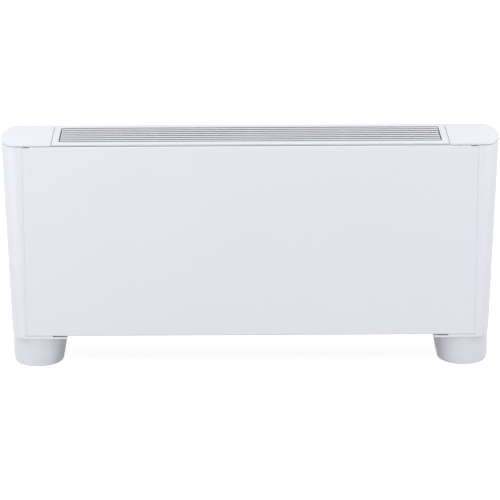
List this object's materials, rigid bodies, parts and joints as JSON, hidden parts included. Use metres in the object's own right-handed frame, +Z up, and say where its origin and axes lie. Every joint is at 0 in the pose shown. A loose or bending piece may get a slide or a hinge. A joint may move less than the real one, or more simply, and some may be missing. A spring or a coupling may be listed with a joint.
{
  "type": "floor-ceiling fan-coil air conditioner",
  "caption": "Slim fan-coil air conditioner cabinet with rounded ends, slotted top outlet, hinged end flaps and bow-fronted feet, holding blower fans, a tilted water coil and a filter.",
  "frame": {"origin": "on the floor, under the middle of the cabinet", "axes": "+Z up, front face towards -Y, +X to the right as seen from the front"},
  "size_m": [1.24, 0.2, 0.582],
  "materials": {
    "white_paint": "satin powder coat",
    "white_plastic": "fine satin",
    "galvanised_steel": "galvanised sheet",
    "plain_steel": "zinc plated",
    "motor_paint": "semi-matt black",
    "black_rubber": "matt",
    "insulation_foam": "closed-cell foam",
    "fin_aluminium": "thin folded sheet",
    "copper": "drawn tube",
    "brass": "machined",
    "black_plastic": "matt moulded",
    "grey_plastic": "matt moulded",
    "filter_cloth": "open woven mesh"
  },
  "bodies": {
    "cabinet": {"front_panel": "white_paint", "back_plate": "galvanised_steel", "top_panel": "white_plastic", "end_cover_left": "white_plastic", "end_cover_right": "white_plastic", "outlet_grille": "white_plastic", "hinge_brackets": "plain_steel", "foot_left": "white_plastic", "foot_right": "white_plastic", "foot_bracket_left": "galvanised_steel", "foot_bracket_right": "galvanised_steel", "foot_pads": "black_rubber", "foot_screws": "plain_steel", "base_frame": "galvanised_steel", "side_plate_left": "galvanised_steel", "side_plate_right": "galvanised_steel", "plenum_front_plate": "galvanised_steel", "plenum_insulation": "insulation_foam", "fan_deck": "galvanised_steel", "fan_housing_left": "galvanised_steel", "fan_housing_right": "galvanised_steel", "motor_body": "motor_paint", "motor_rings": "black_rubber", "motor_hangers": "galvanised_steel", "coil_fins": "fin_aluminium", "coil_end_plates": "galvanised_steel", "return_bends": "copper", "supply_header": "copper", "return_header": "copper", "supply_socket": "brass", "return_socket": "brass", "air_vent_valve": "brass", "drain_pan": "galvanised_steel", "auxiliary_pan": "grey_plastic", "filter_clips": "plain_steel", "electrical_box": "galvanised_steel", "electrical_cover": "galvanised_steel", "terminal_block": "black_plastic", "capacitor": "grey_plastic", "cable_gland": "black_plastic", "control_panel": "grey_plastic", "thermostat_body": "black_plastic", "speed_switch_body": "black_plastic"},
    "flap_left": {"flap_left": "white_plastic", "flap_pin_left": "plain_steel"},
    "flap_right": {"flap_right": "white_plastic", "flap_pin_right": "plain_steel"},
    "fan_rotor": {"fan_wheel_left": "black_plastic", "fan_wheel_right": "black_plastic", "motor_shaft": "plain_steel"},
    "filter": {"filter_frame": "grey_plastic", "filter_mesh": "filter_cloth"},
    "thermostat_dial": {"thermostat_knob": "black_plastic"},
    "speed_dial": {"speed_knob": "black_plastic"}
  },
  "joints": [
    {"name": "flap_left_hinge", "type": "hinge", "parent": "cabinet", "child": "flap_left", "pos_m": [-0.5285, 0.0975, 0.5795], "axis": [-1, 0, 0], "range_deg": [0, 95]},
    {"name": "flap_right_hinge", "type": "hinge", "parent": "cabinet", "child": "flap_right", "pos_m": [0.5285, 0.0975, 0.5795], "axis": [-1, 0, 0], "range_deg": [0, 95]},
    {"name": "fan_spin", "type": "hinge", "parent": "cabinet", "child": "fan_rotor", "pos_m": [0, -0.01, 0.205], "axis": [1, 0, 0], "continuous": true},
    {"name": "filter_slide", "type": "slide", "parent": "cabinet", "child": "filter", "axis": [0, 0, -1], "range_m": [0, 0.07]},
    {"name": "thermostat_turn", "type": "hinge", "parent": "cabinet", "child": "thermostat_dial", "pos_m": [0.5355, -0.035, 0.538], "axis": [0, 0, 1], "range_deg": [-135, 135]},
    {"name": "speed_turn", "type": "hinge", "parent": "cabinet", "child": "speed_dial", "pos_m": [0.5355, 0.035, 0.538], "axis": [0, 0, 1], "range_deg": [-45, 45]}
  ]
}
